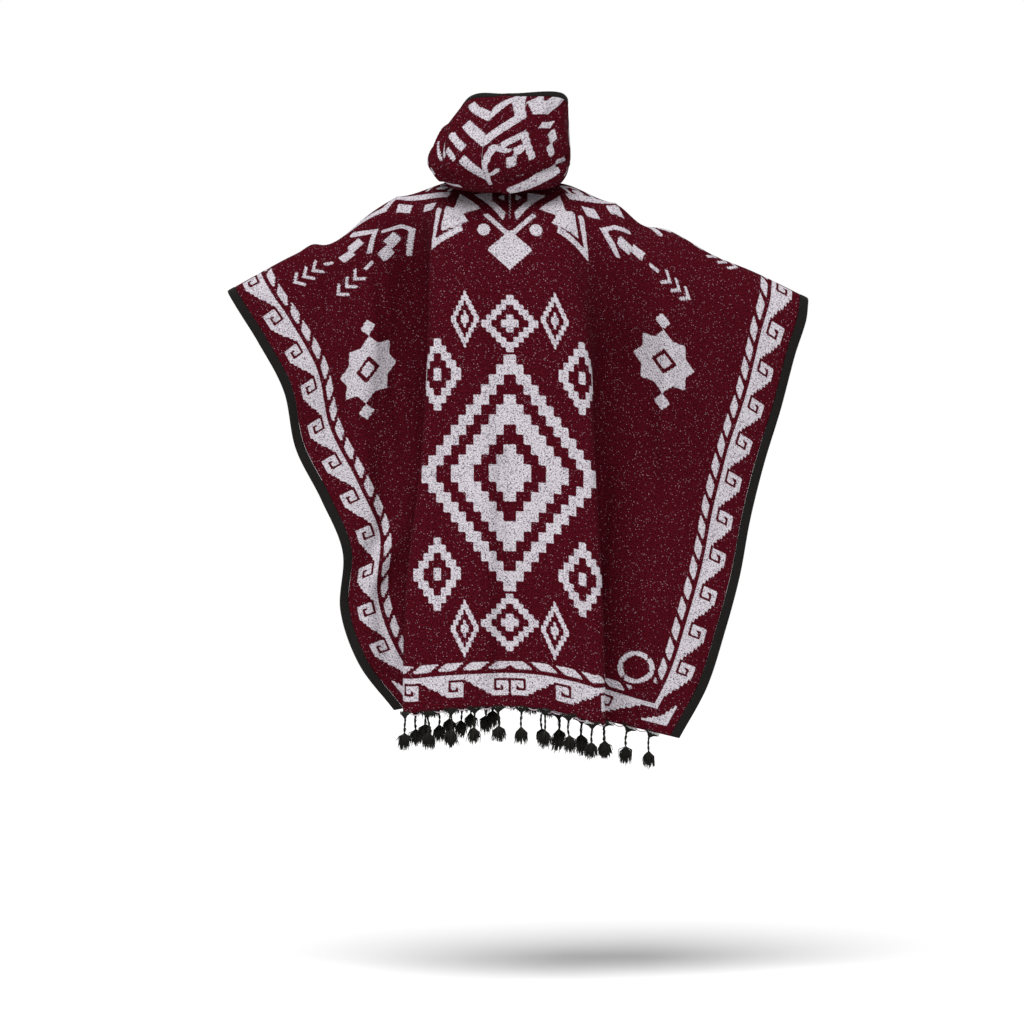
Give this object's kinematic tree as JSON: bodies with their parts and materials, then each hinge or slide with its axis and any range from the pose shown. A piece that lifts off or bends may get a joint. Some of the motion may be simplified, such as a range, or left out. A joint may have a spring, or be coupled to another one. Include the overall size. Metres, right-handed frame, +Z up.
{
  "type": "hooded woven poncho",
  "caption": "Hooded blanket poncho hung over outstretched arms, with open sides, a hood down behind the neck, black edge bindings and tasselled hems.",
  "frame": {"origin": "middle of the shoulder line inside the neck opening, where the poncho rests on its wearer", "axes": "+Z up; the front faces -Y and the back +Y; +X to the wearer's left"},
  "size_m": [1.1039, 0.4277, 1.2821],
  "materials": {
    "cloth": "burgundy and white jacquard wool",
    "binding": "black knitted band",
    "tassel": "brushed black yarn"
  },
  "bodies": {
    "root": {"body_back": "cloth", "body_front": "cloth", "hood_left": "cloth", "hood_right": "cloth", "binding_left": "binding", "binding_right": "binding", "hood_binding": "binding", "fringe_back": "tassel", "fringe_front": "tassel"}
  },
  "joints": []
}
